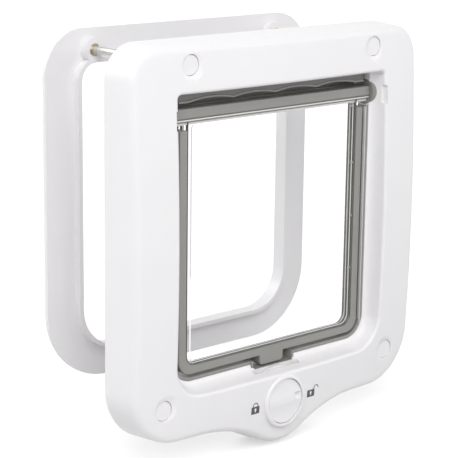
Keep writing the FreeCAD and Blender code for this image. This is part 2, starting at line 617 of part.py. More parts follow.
# Hinge housing: a channel open below, with ribs, a low back wall and a beaded, scalloped front wall
channel = box("housing_block", "-housing_half", "housing_half", "-housing_front", "-housing_back",
              "axis_height + housing_back_rise", "open_top")
BACK_INSIDE = "(-housing_back - housing_wall)"
hollows = [box("housing_under", "-housing_half - past", "housing_half + past",
               "-housing_front - bead_proud - past", BACK_INSIDE, "axis_height", "scallop_low")]
RIBS = range(-2, 3)
edges = ["-housing_half + housing_wall"]
for rib in RIBS:
    edges += [f"{rib} * rib_pitch - rib_thick / 2", f"{rib} * rib_pitch + rib_thick / 2"]
edges.append("housing_half - housing_wall")
for number in range(0, len(edges), 2):
    hollows.append(box(f"housing_hollow_{number}", edges[number], edges[number + 1],
                       "-housing_front + housing_wall", BACK_INSIDE, "axis_height",
                       "open_top - housing_wall"))
for rib in RIBS:
    hollows.append(box(f"rib_end_{rib + 2}", f"{rib} * rib_pitch - rib_thick", f"{rib} * rib_pitch + rib_thick",
                       "-housing_front + housing_wall", BACK_INSIDE, "axis_height", "rib_low"))
ARCH = "((rib_pitch * rib_pitch / 4 + scallop_rise * scallop_rise) / (2 * scallop_rise))"
bead_ends = [box("bead_flat", "-housing_half", "housing_half", "-housing_front - bead_proud", "-housing_front",
                 "scallop_low", "scallop_low + bead_high")]
for number in range(len(RIBS) - 1):
    middle = f"({number} - 1.5) * rib_pitch"
    level = f"scallop_low + scallop_rise - {ARCH}"
    hollows.append(rod(f"scallop_{number}", ARCH, "y", "-housing_front - bead_proud - past", BACK_INSIDE,
                       middle, level))
    bead_ends.append(rod(f"bead_{number}", f"{ARCH} + bead_high", "y", "-housing_front - bead_proud",
                         "-housing_front", middle, level))
bead_field = box("bead_field", "-housing_half", "housing_half", "-housing_front - bead_proud", "-housing_back",
                 "scallop_low", "open_top")
bead = common("housing_bead", [fuse("bead_arcs", bead_ends), bead_field])
finish(cut("hinge_housing", fuse("housing_solid", [channel, bead]), fuse("housing_spaces", hollows)),
       "hinge_housing")

# Hinge: plain pins pressed in flanged bushes, and the rail that turns on them
for side, sign in SIDES:
    def span(near, far):
        """Two places along X on this side, in rising order."""
        return (f"{near}", f"{far}") if sign > 0 else (f"-({far})", f"-({near})")
    pin = rod(f"hinge_pin_{side}", "pin_radius", "x", *span("pin_inner", "pin_outer"), "-axis_depth",
              "axis_height")
    collar = rod(f"bush_collar_{side}", "pocket_radius - fit_gap", "x",
                 *span("rail_half + end_gap", "pocket_half"), "-axis_depth", "axis_height")
    spigot = rod(f"bush_spigot_{side}", "bush_radius", "x", *span("rail_half + end_gap", "bush_outer"),
                 "-axis_depth", "axis_height")
    bore = rod(f"bush_hole_{side}", "pin_radius + fit_gap / 2", "x", *span("pin_inner", "pin_outer"),
               "-axis_depth", "axis_height")
    finish(pin, f"hinge_pin_{side}")
    finish(cut(f"hinge_bush_{side}", fuse(f"bush_solid_{side}", [collar, spigot]), bore), f"hinge_bush_{side}")

barrel = new_body("rail_barrel")
rail_sketch = new_sketch(barrel, "rail_sketch", "YZ_Plane")
bind(rail_sketch, "AttachmentOffset.Base.x", "-axis_depth")
bind(rail_sketch, "AttachmentOffset.Base.y", "axis_height")
rounded_rect(rail_sketch, "rail_thick / 2", "rail_fall", "rail_rise", "rail_edge", "rail_edge")
pad(barrel, "rail_pad", rail_sketch, "2 * rail_half", midplane=True)
lips = box("rail_lips", "-rail_half", "rail_half", "-axis_depth - pane_thick / 2 - lip_wall",
           "-axis_depth + pane_thick / 2 + lip_wall", "axis_height - rail_fall - rail_lip",
           "axis_height - rail_fall / 2")
rail_cuts = [
    box("pane_slot", "-pane_half - slip", "pane_half + slip", "-axis_depth - pane_thick / 2 - slip",
        "-axis_depth + pane_thick / 2 + slip", "axis_height - rail_fall - rail_lip - past", "pane_top + slip"),
    rod("pin_bore_left", "pin_radius + pin_gap", "x", "-rail_half - past", "-pin_inner + end_gap", "-axis_depth",
        "axis_height"),
    rod("pin_bore_right", "pin_radius + pin_gap", "x", "pin_inner - end_gap", "rail_half + past", "-axis_depth",
        "axis_height")]
finish(cut("hinge_rail", fuse("rail_solid", [barrel, lips]), fuse("rail_spaces", rail_cuts)), "hinge_rail")

# Flap: a clear pane in the rail and in a U-shaped surround, with a magnetic tab below
pane = plate("flap_pane", rect("pane_half", "pane_low", "pane_top", "pane_round", "small_round"),
             "axis_depth - pane_thick / 2", "pane_thick")
field = new_sketch(pane, "pane_field", lift="axis_depth + pane_thick / 2")
rounded_rect(field, "field_half", "field_low", "field_top", "field_round", "field_round")
pad(pane, "pane_field_pad", field, "field_rise", taper="-field_bevel")
finish(pane, "flap_pane")

surround = plate("surround_block", rect("rim_half", "rim_low", "rim_top", "rim_round", "small_round"),
                 "axis_depth - rim_thick / 2", "rim_thick")
tab = new_sketch(surround, "surround_tab", lift="axis_depth - rim_thick / 2")
rounded_rect(tab, "tab_half", "tab_low", "rim_wide_low / 2 - rim_low", "tab_round", "small_round")
pad(surround, "surround_tab_pad", tab, "rim_thick")
way = new_sketch(surround, "surround_way")
rounded_rect(way, "rim_inner", "rim_inner_low", "rim_top + far_past", "rim_inner_round", "small_round")
pocket(surround, "surround_pocket", way)
faces = [-value("axis_depth - rim_thick / 2"), -value("axis_depth + rim_thick / 2")]


def on_a_face(edge):
    """Whether an edge lies all along the room face or the outer face of the surround."""
    span = edge.BoundBox
    return any(abs(span.YMin - y) < 0.01 and abs(span.YMax - y) < 0.01 for y in faces)


fillet(surround, "surround_edges", surround.Tip, on_a_face, "rim_edge")
rungs = []
for side, sign in SIDES:
    for step in (-1, 0, 1):
        level = f"{step} * rung_pitch - rung_middle"
        ends = ["rim_inner - rung_proud", "rim_inner + rung_proud"]
        if sign < 0:
            ends = ["-rim_inner - rung_proud", "-rim_inner + rung_proud"]
        rungs.append(box(f"rung_{side}_{step + 1}", *ends, "-axis_depth - rim_thick / 2 + rim_edge",
                         "-axis_depth", f"{level} - rung_size / 2", f"{level} + rung_size / 2"))
pane_space = plate("pane_space", rect("pane_half + slip", "pane_low + slip", "rim_top + past",
                                      "pane_round + slip", "small_round"),
                   "axis_depth - pane_thick / 2 - slip", "pane_thick + 2 * slip")
magnet_space = box("magnet_space", "-magnet_half - glue_gap", "magnet_half + glue_gap",
                   "-axis_depth - magnet_thick / 2 - glue_gap", "-axis_depth + magnet_thick / 2 + glue_gap",
                   "-tab_low - past", "magnet_sunk + magnet_height - tab_low")
finish(cut("flap_surround", fuse("surround_solid", [surround] + rungs),
           fuse("surround_spaces", [pane_space, magnet_space])), "flap_surround")
finish(box("flap_magnet", "-magnet_half", "magnet_half", "-axis_depth - magnet_thick / 2",
           "-axis_depth + magnet_thick / 2", "magnet_sunk - tab_low", "magnet_sunk + magnet_height - tab_low"),
       "flap_magnet")


# Lock: the dial in the lobe turns a wheel of two flanges that straddle the tab
DIAL_FRONT = f"({LOCK} + ring_proud - dial_sunk)"
dial = plate("dial_block", circle("0", "-lock_height", "dial_radius"), f"{DIAL_FRONT} - dial_thick", "dial_thick")
dial_front = -value(DIAL_FRONT)
fillet(dial, "dial_edge", dial.Tip, lambda e: abs(e.BoundBox.YMax - dial_front) < 0.01, "dial_edge")
spindle = rod("spindle", "spindle_radius", "y", f"dial_thick / 2 - {DIAL_FRONT}", "-wheel_front", "0",
              "-lock_height")
key = box("dial_key", "-key_side / 2", "key_side / 2", "-wheel_front - past", "key_reach - wheel_front",
          "-lock_height - key_side / 2", "-lock_height + key_side / 2")
dial_cuts = [rod("key_hole", "lock_screw_radius + fit_gap / 2", "y", "-wheel_front - past", "0", "0",
                 "-lock_height")]
for name, sign in (("upper", 1), ("lower", -1)):
    groove = rod(f"dial_scoop_{name}", "dial_scoop", "x", "-dial_radius - past", "dial_radius + past",
                 f"scoop_depth - dial_scoop - {DIAL_FRONT}",
                 f"{sign} * (ridge_half + sqrt(2 * dial_scoop * scoop_depth)) - lock_height")
    dial_cuts.append(groove)
mark = doc.addObject("Part::Wedge", "dial_mark")
for prop, text in (("Xmin", "-mark_long / 2"), ("Xmax", "mark_long / 2"), ("Zmin", "-mark_wide / 2"),
                   ("Zmax", "mark_wide / 2"), ("Ymin", "0"), ("Ymax", "2 * mark_deep"),
                   ("X2min", "-mark_floor_near"), ("X2max", "mark_floor_far"), ("Z2min", "-mark_floor_half"),
                   ("Z2max", "mark_floor_half")):
    bind(mark, prop, text)
for axis, place in (("x", "mark_out * cos(mark_turn * 1deg)"), ("y", f"-{DIAL_FRONT} - mark_deep"),
                    ("z", "mark_out * sin(mark_turn * 1deg) - lock_height")):
    bind(mark, f"Placement.Base.{axis}", place)
dial_cuts.append(mark)
finish(cut("lock_knob", fuse("dial_solid", [dial, spindle, key]), fuse("dial_spaces", dial_cuts)), "lock_knob")


def wheel_outline(sketch):
    """The wheel: a high round, and a lower one round its top where the tab may pass."""
    high, low, half = value("wheel_high"), value("wheel_open"), math.radians(value("wheel_half_angle"))
    level = -value("lock_height")
    sine, cosine = math.sin(half), math.cos(half)
    start, end = 90 + math.degrees(half), 90 - math.degrees(half)
    sketch.addGeometry([
        arc(0, level, high, start, end + 360), line(high * sine, level + high * cosine,
                                                    low * sine, level + low * cosine),
        arc(0, level, low, end, start), line(-low * sine, level + low * cosine,
                                             -high * sine, level + high * cosine)])
    for first, first_end, second, second_end in ((0, 2, 1, 1), (1, 2, 2, 1), (2, 2, 3, 1), (3, 2, 0, 1)):
        sketch.addConstraint(Sketcher.Constraint("Coincident", first, first_end, second, second_end))
    sketch.addConstraint(Sketcher.Constraint("Coincident", 0, 3, 2, 3))
    sketch.addConstraint(Sketcher.Constraint("PointOnObject", 0, 3, -2))
    sketch.addConstraint(Sketcher.Constraint("PointOnObject", 0, 3, 1))
    sketch.addConstraint(Sketcher.Constraint("PointOnObject", 0, 3, 3))
    named(sketch, "level", "-lock_height", "DistanceY", -1, 1, 0, 3)
    named(sketch, "high", "wheel_high", "Radius", 0)
    named(sketch, "low", "wheel_open", "Radius", 2)
    named(sketch, "right", "wheel_open * sin(wheel_half_angle * 1deg)", "DistanceX", -1, 1, 2, 1)
    named(sketch, "left", "wheel_open * sin(wheel_half_angle * 1deg)", "DistanceX", 2, 2, -1, 1)


wheel_parts = [
    plate("wheel_front_flange", wheel_outline, "wheel_front - wheel_plate", "wheel_plate"),
    plate("wheel_back_flange", wheel_outline, "wheel_back", "wheel_plate"),
    rod("wheel_hub", "wheel_hub", "y", "-wheel_front", "-wheel_back", "0", "-lock_height")]
wheel_cuts = [
    box("key_space", "-key_side / 2 - slip", "key_side / 2 + slip", "-wheel_front - past",
        "key_reach - wheel_front + slip", "-lock_height - key_side / 2 - slip",
        "-lock_height + key_side / 2 + slip"),
    rod("wheel_screw_bore", "lock_screw_radius + slip", "y", "-wheel_front", "0", "0", "-lock_height"),
    rod("wheel_head_bore", "lock_screw_head + slip", "y", "-wheel_back - lock_screw_thick", "0", "0",
        "-lock_height")]
finish(cut("lock_disc", fuse("wheel_solid", wheel_parts), fuse("wheel_spaces", wheel_cuts)), "lock_disc")


def screw(name, x, z, seat, radius, reach, head, thick, socket, neck=None, tip=None):
    """A screw along Y whose head rests at y = seat, with a hexagonal socket in the head.

    A wood screw has a slimmer, smooth neck as far as the door, and a cone for its tip.
    """
    start = f"{seat} - {thick} / 2"
    pieces = [rod(f"{name}_head", head, "y", f"{seat} - {thick}", seat, x, z)]
    if neck:
        pieces.append(rod(f"{name}_neck", neck, "y", start, "neck_end", x, z))
        start = "neck_end"
    pieces.append(rod(f"{name}_shank", radius, "y", start, reach, x, z))
    if tip:
        cone = doc.addObject("Part::Cone", f"{name}_tip")
        bind(cone, "Radius1", radius)
        bind(cone, "Radius2", f"{radius} / 10")
        bind(cone, "Height", tip)
        cone.Placement.Rotation = FreeCAD.Rotation(FreeCAD.Vector(1, 0, 0), -90)
        for axis, place in (("x", x), ("y", reach), ("z", z)):
            bind(cone, f"Placement.Base.{axis}", place)
        pieces.append(cone)
    hexagon = doc.addObject("Part::Prism", f"{name}_socket")
    hexagon.Polygon = 6
    bind(hexagon, "Circumradius", socket)
    bind(hexagon, "Height", "socket_deep + past")
    hexagon.Placement.Rotation = FreeCAD.Rotation(FreeCAD.Vector(1, 0, 0), -90)
    for axis, place in (("x", x), ("y", f"{seat} - {thick} - past"), ("z", z)):
        bind(hexagon, f"Placement.Base.{axis}", place)
    return finish(cut(name, fuse(f"{name}_solid", pieces), hexagon), name)


def rear_screw(name, x, z, seat, radius, reach, head, thick, socket):
    """The same screw driven from the outside: its head rests at y = seat and it reaches towards the room."""
    pieces = [rod(f"{name}_head", head, "y", seat, f"{seat} + {thick}", x, z),
              rod(f"{name}_shank", radius, "y", f"{seat} - {reach}", f"{seat} + {thick} / 2", x, z)]
    hexagon = doc.addObject("Part::Prism", f"{name}_socket")
    hexagon.Polygon = 6
    bind(hexagon, "Circumradius", socket)
    bind(hexagon, "Height", f"{thick} / 2 + past")
    hexagon.Placement.Rotation = FreeCAD.Rotation(FreeCAD.Vector(1, 0, 0), -90)
    for axis, place in (("x", x), ("y", f"{seat} + {thick} / 2"), ("z", z)):
        bind(hexagon, f"Placement.Base.{axis}", place)
    return finish(cut(name, fuse(f"{name}_solid", pieces), hexagon), name)


rear_screw("lock_screw", "0", "-lock_height", "(-wheel_back - lock_screw_thick)", "lock_screw_radius",
           "lock_screw_reach", "lock_screw_head", "lock_screw_thick", "lock_socket_radius")

# Screws, inserts and caps
for corner, x, z in CORNERS:
    front = f"({front_at(x, z)})"
    disc = rod(f"cap_disc_{corner}", "cap_radius", "y", f"cap_sunk - {front}",
               f"cap_sunk + cap_thick + cap_skirt - {front}", x, z)
    hollow = rod(f"cap_hollow_{corner}", "cap_radius - cap_wall", "y", f"cap_sunk + cap_thick - {front}",
                 f"cap_sunk + cap_thick + cap_skirt + past - {front}", x, z)
    finish(cut(f"screw_cap_{corner}", disc, hollow), f"screw_cap_{corner}")
for side, sign in SIDES:
    across = "cap_top_x" if sign > 0 else "-cap_top_x"
    screw(f"through_screw_{side}", across, "cap_top_z", f"(seat_down - {front_at(across, 'cap_top_z')})",
          "screw_radius", "insert_back", "head_radius", "head_thick", "socket_radius")
    across = "cap_low_x" if sign > 0 else "-cap_low_x"
    screw(f"door_screw_{side}", across, "-cap_low_z", f"(seat_down - {front_at(across, '-cap_low_z')})",
          "screw_radius", "wood_screw_reach", "head_radius", "head_thick", "socket_radius", "neck_radius",
          "wood_screw_tip")

# Outer frame: a plate with a collar that lines the door's hole
outer = plate("outer_plate", rect("outer_half", "outer_low", "outer_top", "outer_corner_low",
                                  "outer_corner_top"), "-door_thick - outer_plate", "outer_plate")
back = value("door_thick + outer_plate")
fillet(outer, "outer_edge", outer.Tip, lambda e: abs(e.BoundBox.YMin - back) < 0.01, "outer_edge")
collar = plate("collar_block", rect("way_half + collar_wall", "way_low + collar_wall", "way_top + collar_wall",
                                    "way_corner_low + collar_wall", "way_corner_top + collar_wall"),
               "-door_thick - past", "collar_height + past")
outer_cuts = [plate("way_space", rect("way_half", "way_low", "way_top", "way_corner_low", "way_corner_top"),
                    "-door_thick - outer_plate - past", "outer_plate + collar_height + 2 * past")]
outer_solids = [outer, collar]
for side, sign in SIDES:
    across = "cap_top_x" if sign > 0 else "-cap_top_x"
    outer_solids.append(rod(f"nut_boss_{side}", "nut_boss_radius", "y", "door_thick - nut_boss_rise",
                            "door_thick + past", across, "cap_top_z"))
    outer_cuts.append(rod(f"insert_bore_{side}", "insert_radius + fit_gap", "y",
                          "door_thick - nut_boss_rise - past", "insert_back", across, "cap_top_z"))
    sleeve = rod(f"insert_sleeve_{side}", "insert_radius", "y", "insert_back - insert_length", "insert_back",
                 across, "cap_top_z")
    bore = rod(f"insert_thread_{side}", "screw_radius + fit_gap / 2", "y", "0", "insert_back + past", across,
               "cap_top_z")
    finish(cut(f"threaded_insert_{side}", sleeve, bore), f"threaded_insert_{side}")
finish(cut("rear_frame", fuse("outer_solid", outer_solids), fuse("outer_spaces", outer_cuts)), "rear_frame")

doc.recompute()
for thing in doc.Objects:
    if "Invalid" in thing.State or "Error" in thing.State:
        raise RuntimeError(f"{thing.Name} failed to build")
for thing in SUBPARTS:
    if not thing.Shape.isValid() or not thing.Shape.Solids:
        raise RuntimeError(f"{thing.Label} is no valid solid")
    thing.Shape.exportStep(f"parts/{thing.Label}.step")
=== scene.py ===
import math

import bmesh
import bpy
from mathutils import Matrix, Vector
from mathutils.bvhtree import BVHTree


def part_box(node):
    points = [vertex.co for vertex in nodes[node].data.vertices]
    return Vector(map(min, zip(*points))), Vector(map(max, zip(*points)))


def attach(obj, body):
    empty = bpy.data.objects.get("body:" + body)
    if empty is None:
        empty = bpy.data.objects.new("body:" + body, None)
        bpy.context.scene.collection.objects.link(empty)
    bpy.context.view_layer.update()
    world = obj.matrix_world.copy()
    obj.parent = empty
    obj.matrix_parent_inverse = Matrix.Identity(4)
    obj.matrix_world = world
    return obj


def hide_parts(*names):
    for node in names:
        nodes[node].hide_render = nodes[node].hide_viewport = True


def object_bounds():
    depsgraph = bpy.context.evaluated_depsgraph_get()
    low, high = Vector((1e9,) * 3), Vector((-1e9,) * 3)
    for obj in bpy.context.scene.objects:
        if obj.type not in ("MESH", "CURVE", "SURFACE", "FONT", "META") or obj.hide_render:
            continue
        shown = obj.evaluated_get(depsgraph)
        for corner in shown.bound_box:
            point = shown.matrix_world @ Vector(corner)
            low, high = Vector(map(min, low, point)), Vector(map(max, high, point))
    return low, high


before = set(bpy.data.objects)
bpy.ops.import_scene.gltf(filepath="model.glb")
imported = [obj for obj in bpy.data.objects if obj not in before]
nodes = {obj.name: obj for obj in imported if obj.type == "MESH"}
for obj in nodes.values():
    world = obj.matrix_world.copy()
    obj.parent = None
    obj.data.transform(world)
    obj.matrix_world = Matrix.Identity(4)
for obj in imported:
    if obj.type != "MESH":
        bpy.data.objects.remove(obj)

cad_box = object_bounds()
MM = 0.001

# Camera: to the left of the flap and a little above it, as in the photograph.
# Its place and its lens come from the object's edges there.
CAMERA_PLACE = (-570.7, -600.5, 189.8)
CAMERA_AIM = (0.65868, 0.71732, -0.22716)
CAMERA_ROLL = 0.75
CAMERA_LENS = 128.6
CAMERA_SENSOR = 36
CAMERA_NEAR = 10


def stand(name, data):
    """A new object in the scene, at the origin, with the data it shows."""
    thing = bpy.data.objects.new(name, data)
    bpy.context.scene.collection.objects.link(thing)
    return thing


aim = Vector(CAMERA_AIM).normalized()
level = aim.cross(Vector((0, 0, 1))).normalized()
above = level.cross(aim)
roll = math.radians(CAMERA_ROLL)
side_axis = level * math.cos(roll) + above * math.sin(roll)
up_axis = above * math.cos(roll) - level * math.sin(roll)
camera_data = bpy.data.cameras.new("camera")
camera_data.lens = CAMERA_LENS
camera_data.sensor_width = CAMERA_SENSOR
camera_data.clip_start = CAMERA_NEAR * MM
camera = stand("camera", camera_data)
turn = Matrix((side_axis, up_axis, -aim)).transposed().to_4x4()
camera.matrix_world = Matrix.Translation(Vector(CAMERA_PLACE) * MM) @ turn
bpy.context.scene.camera = camera

# Inner frame: one injection moulding in white plastic, satin from a fine-eroded tool.
# Two long screws clamp it to the room side of the door, and two wood screws hold it below.
# Every other moulding here gets its finish from the same function, with its own colour.
WHITE = (0.858, 0.846, 0.860)
MERGE = 1e-6
SMOOTH_ANGLE = math.radians(32)
NOISE_MIDDLE = (0.3, 0.7)
CLOUDS_PER_METRE = 45
WEAR_PER_METRE = 160
WEAR_RANGE = (-0.04, 0.05)
EROSION_PER_METRE = 2600
EROSION_STRENGTH = 0.5
PLASTIC_IOR = 1.5


def shader(name):
    """A new material with its node tree and its Principled shader."""
    material = bpy.data.materials.new(name)
    material.use_nodes = True
    return material, material.node_tree, material.node_tree.nodes["Principled BSDF"]


def join_up(tree, source, output, target, socket):
    """Links an output of one node to a socket of another."""
    tree.links.new(source.outputs[output], target.inputs[socket])


def texture(tree, kind, scale, **settings):
    """A procedural texture on Object coordinates, at a scale given in waves per metre."""
    place = tree.nodes.new("ShaderNodeTexCoord")
    node = tree.nodes.new(kind)
    join_up(tree, place, "Object", node, "Vector")
    node.inputs["Scale"].default_value = scale
    for socket, number in settings.items():
        node.inputs[socket].default_value = number
    return node


def ranged(tree, from_low, from_high, to_low, to_high):
    """A Map Range node with its four ends set."""
    ramp = tree.nodes.new("ShaderNodeMapRange")
    ends = {"From Min": from_low, "From Max": from_high, "To Min": to_low, "To Max": to_high}
    for socket, number in ends.items():
        ramp.inputs[socket].default_value = number
    return ramp


def band(tree, noise, low, high):
    """Maps a noise's middle values to the range from low to high."""
    ramp = ranged(tree, *NOISE_MIDDLE, low, high)
    join_up(tree, noise, "Fac", ramp, "Value")
    return ramp


def clouded(tree, noise, colour, shade, paint):
    """Lets a noise vary a shader's colour between a darker tone and the full one."""
    tint = tree.nodes.new("ShaderNodeMix")
    tint.data_type = "RGBA"
    join_up(tree, band(tree, noise, 0, 1), "Result", tint, "Factor")
    tint.inputs["A"].default_value = (*[c * (1 - shade) for c in colour], 1)
    tint.inputs["B"].default_value = (*colour, 1)
    join_up(tree, tint, "Result", paint, "Base Color")


def raised(tree, pattern, strength, height, paint):
    """Gives a shader a bump from a pattern, with its height in millimetres."""
    bump = tree.nodes.new("ShaderNodeBump")
    bump.inputs["Strength"].default_value = strength
    bump.inputs["Distance"].default_value = height * MM
    join_up(tree, pattern, "Fac", bump, "Height")
    join_up(tree, bump, "Normal", paint, "Normal")
    return bump


def moulded(name, colour, rough, grain=0.02, edge=0.25, shade=0.03):
    """Moulded plastic: an eroded grain, faint clouding, soft worn edges and a dull clear gloss."""
    material, tree, plastic = shader(name)
    clouds = texture(tree, "ShaderNodeTexNoise", CLOUDS_PER_METRE, Detail=3)
    clouded(tree, clouds, colour, shade, plastic)
    wear = texture(tree, "ShaderNodeTexNoise", WEAR_PER_METRE, Detail=4)
    worn = band(tree, wear, rough + WEAR_RANGE[0], rough + WEAR_RANGE[1])
    join_up(tree, worn, "Result", plastic, "Roughness")
    plastic.inputs["IOR"].default_value = PLASTIC_IOR
    erosion = texture(tree, "ShaderNodeTexNoise", EROSION_PER_METRE, Detail=2)
    rounding = tree.nodes.new("ShaderNodeBevel")
    rounding.inputs["Radius"].default_value = edge * MM
    bump = raised(tree, erosion, EROSION_STRENGTH, grain, plastic)
    join_up(tree, rounding, "Normal", bump, "Normal")
    return material


def smooth_copy(node, material, angle):
    """A CAD node's mesh with its loose triangles merged and its curved faces smooth."""
    mesh = nodes[node].data.copy()
    cleaner = bmesh.new()
    cleaner.from_mesh(mesh)
    bmesh.ops.remove_doubles(cleaner, verts=cleaner.verts, dist=MERGE)
    cleaner.to_mesh(mesh)
    cleaner.free()
    for layer in list(mesh.attributes):
        if layer.name == "custom_normal":
            mesh.attributes.remove(layer)
    mesh.shade_smooth()
    mesh.set_sharp_from_angle(angle=angle)
    mesh.materials.clear()
    mesh.materials.append(material)
    piece = stand(f"{node}_skin", mesh)
    weights = piece.modifiers.new("weights", "WEIGHTED_NORMAL")
    weights.keep_sharp = True
    return piece


def dress(node, body, material, angle=SMOOTH_ANGLE):
    """Shows a CAD node through its smooth copy, which moves with its body."""
    piece = smooth_copy(node, material, angle)
    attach(piece, body)
    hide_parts(node)
    return piece


white_plastic = moulded("white_plastic", WHITE, rough=0.36, shade=0.012)
front = dress("front_frame", "frame", white_plastic)

# Lock marks: a closed and an open padlock, pad-printed in dark grey beside the dial.
# Each is a thin skin on the crowned face of the inner frame, with a bare keyhole.
MARK_COLOUR = (0.075, 0.075, 0.08)
MARK_LIFT = 0.05
MARKS = {"lock_mark_closed": (-20.3, -90.3, False), "lock_mark_open": (19.9, -89.8, True)}
MARK_WIDE = 5.5
MARK_TALL = 4.0
MARK_ROWS = 22
MARK_BELOW = 3.5
KEYHOLE_HEAD = (2.35, 0.75)
KEYHOLE_SLOT = (0.9, 0.42)
SHACKLE_RADIUS = 1.6
SHACKLE_RISE = 0.3
SHACKLE_WIDE = 0.5
SHACKLE_SWING = 3.75
SHACKLE_STEPS = 12
PRINT_FROM = 100
mark_ink = moulded("mark_ink", MARK_COLOUR, rough=0.45, grain=0.005, edge=0.05)
front_tree = BVHTree.FromObject(front, bpy.context.evaluated_depsgraph_get())


def on_face(x, z):
    """The point of the inner frame's face at a place in millimetres, raised by the print."""
    hit = front_tree.ray_cast(Vector((x, -PRINT_FROM, z)) * MM, Vector((0, 1, 0)))[0]
    return hit - Vector((0, MARK_LIFT * MM, 0))


def strip(maker, path, width):
    """A flat band along a path of places on the face."""
    rows = []
    for index, (x, z) in enumerate(path):
        before, after = path[max(index - 1, 0)], path[min(index + 1, len(path) - 1)]
        run = Vector((after[0] - before[0], after[1] - before[1])).normalized() * width / 2
        rows.append([maker.verts.new(on_face(x - run.y, z + run.x)),
                     maker.verts.new(on_face(x + run.y, z - run.x))])
    for one, two in zip(rows, rows[1:]):
        maker.faces.new((one[0], one[1], two[1], two[0]))


def keyhole_half(rise):
    """Half the keyhole's width at a height above the padlock's foot."""
    middle, radius = KEYHOLE_HEAD
    foot, slot = KEYHOLE_SLOT
    head = math.sqrt(max(radius ** 2 - (rise - middle) ** 2, 0))
    return max(head, slot) if foot < rise < middle else head


def print_body(maker, x, low):
    """The padlock's body, row by row, with the keyhole left out."""
    half = MARK_WIDE / 2
    for row in range(MARK_ROWS):
        rise = MARK_TALL * (row + 0.5) / MARK_ROWS
        hole = keyhole_half(rise)
        spans = [(-half, -hole), (hole, half)] if hole else [(-half, half)]
        for start, end in spans:
            path = [(x + across, low + rise) for across in (start, (start + end) / 2, end)]
            strip(maker, path, MARK_TALL / MARK_ROWS)


def print_shackle(maker, middle, base, far_base):
    """The padlock's shackle: an arch between a leg at its near side and one at its far side."""
    path = [(middle - SHACKLE_RADIUS, base)]
    for step in range(SHACKLE_STEPS + 1):
        angle = math.pi * step / SHACKLE_STEPS
        path.append((middle - SHACKLE_RADIUS * math.cos(angle),
                     base + SHACKLE_RISE + SHACKLE_RADIUS * math.sin(angle)))
    path.append((middle + SHACKLE_RADIUS, far_base))
    strip(maker, path, SHACKLE_WIDE)


for name, (x, z, is_open) in MARKS.items():
    maker = bmesh.new()
    low = z - MARK_BELOW
    base = low + MARK_TALL
    print_body(maker, x, low)
    if is_open:
        print_shackle(maker, x + SHACKLE_SWING, base, base + SHACKLE_RISE / 2)
    else:
        print_shackle(maker, x, base, base)
    bmesh.ops.recalc_face_normals(maker, faces=maker.faces)
    mesh = bpy.data.meshes.new(name)
    maker.to_mesh(mesh)
    maker.free()
    mesh.materials.append(mark_ink)
    mark = stand(name, mesh)
    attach(mark, "frame")

# Outer frame: the second white moulding, a little glossier than the first.
# It lies on the far side of the door, its collar lines the hole, and the long screws draw it in.
outer_plastic = moulded("outer_white", WHITE, rough=0.32, shade=0.012)
dress("rear_frame", "frame", outer_plastic)

# Screw caps: four small white plugs of the same plastic, each with a thin skirt.
# They are pressed in by hand over the screws once the flap is up.
cap_plastic = moulded("cap_white", WHITE, rough=0.34, edge=0.15, shade=0.01)
for corner in ("top_left", "top_right", "low_left", "low_right"):
    dress(f"screw_cap_{corner}", "frame", cap_plastic)

# Dial and wheel of the lock: white mouldings on one spindle, with a screw from behind.
# The dial's ridge and its pointer dimple are blended softly into its face.
DIAL_ANGLE = math.radians(62)
dial_plastic = moulded("dial_white", WHITE, rough=0.32, grain=0.008, edge=0.7, shade=0.006)
dress("lock_knob", "lock", dial_plastic, DIAL_ANGLE)
dress("lock_disc", "lock", dial_plastic)

# Liner and hinge bushes: taupe mouldings, pressed into the throat of the inner frame and its bosses.
# The liner's foot is the tray that the tab swings over.
TAUPE = (0.285, 0.280, 0.262)
liner_plastic = moulded("liner_taupe", TAUPE, rough=0.32, shade=0.05)
for node in ("liner", "hinge_bush_left", "hinge_bush_right"):
    dress(node, "frame", liner_plastic)

# Hinge housing: a taupe channel above the rail, one moulding set into the top of the opening.
# Its colour has painted shade by depth: full on the bead, darkest on the face behind it, between further
# in.
# A small plate closes its back at each end.
HOUSING_WALL = 1.3
PAINTED_SHADE_DEPTH = 2.0
PAINTED_SHADE_TONES = ((0.0, 1.0), (0.125, 0.62), (0.6, 0.9))
PLATE_WIDE = 3.6
INSET = 0.1
SLAT_EDGE = 0.2
SLAT_STEPS = 3


def slat(name, body, plastic, low, high):
    """A slim moulded strip between two corners in millimetres, with rounded edges."""
    maker = bmesh.new()
    bmesh.ops.create_cube(maker, size=1)
    for vertex in maker.verts:
        vertex.co = Vector([low[i] if vertex.co[i] < 0 else high[i] for i in range(3)]) * MM
    bmesh.ops.bevel(maker, geom=maker.edges[:], offset=SLAT_EDGE * MM, segments=SLAT_STEPS,
                    affect="EDGES", profile=0.5)
    mesh = bpy.data.meshes.new(name)
    maker.to_mesh(mesh)
    maker.free()
    mesh.shade_smooth()
    mesh.set_sharp_from_angle(angle=SMOOTH_ANGLE)
    mesh.materials.append(plastic)
    piece = stand(name, mesh)
    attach(piece, body)


def corners_mm(node):
    """The low and the high corner of a CAD node, in millimetres."""
    return [Vector(corner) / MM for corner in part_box(node)]


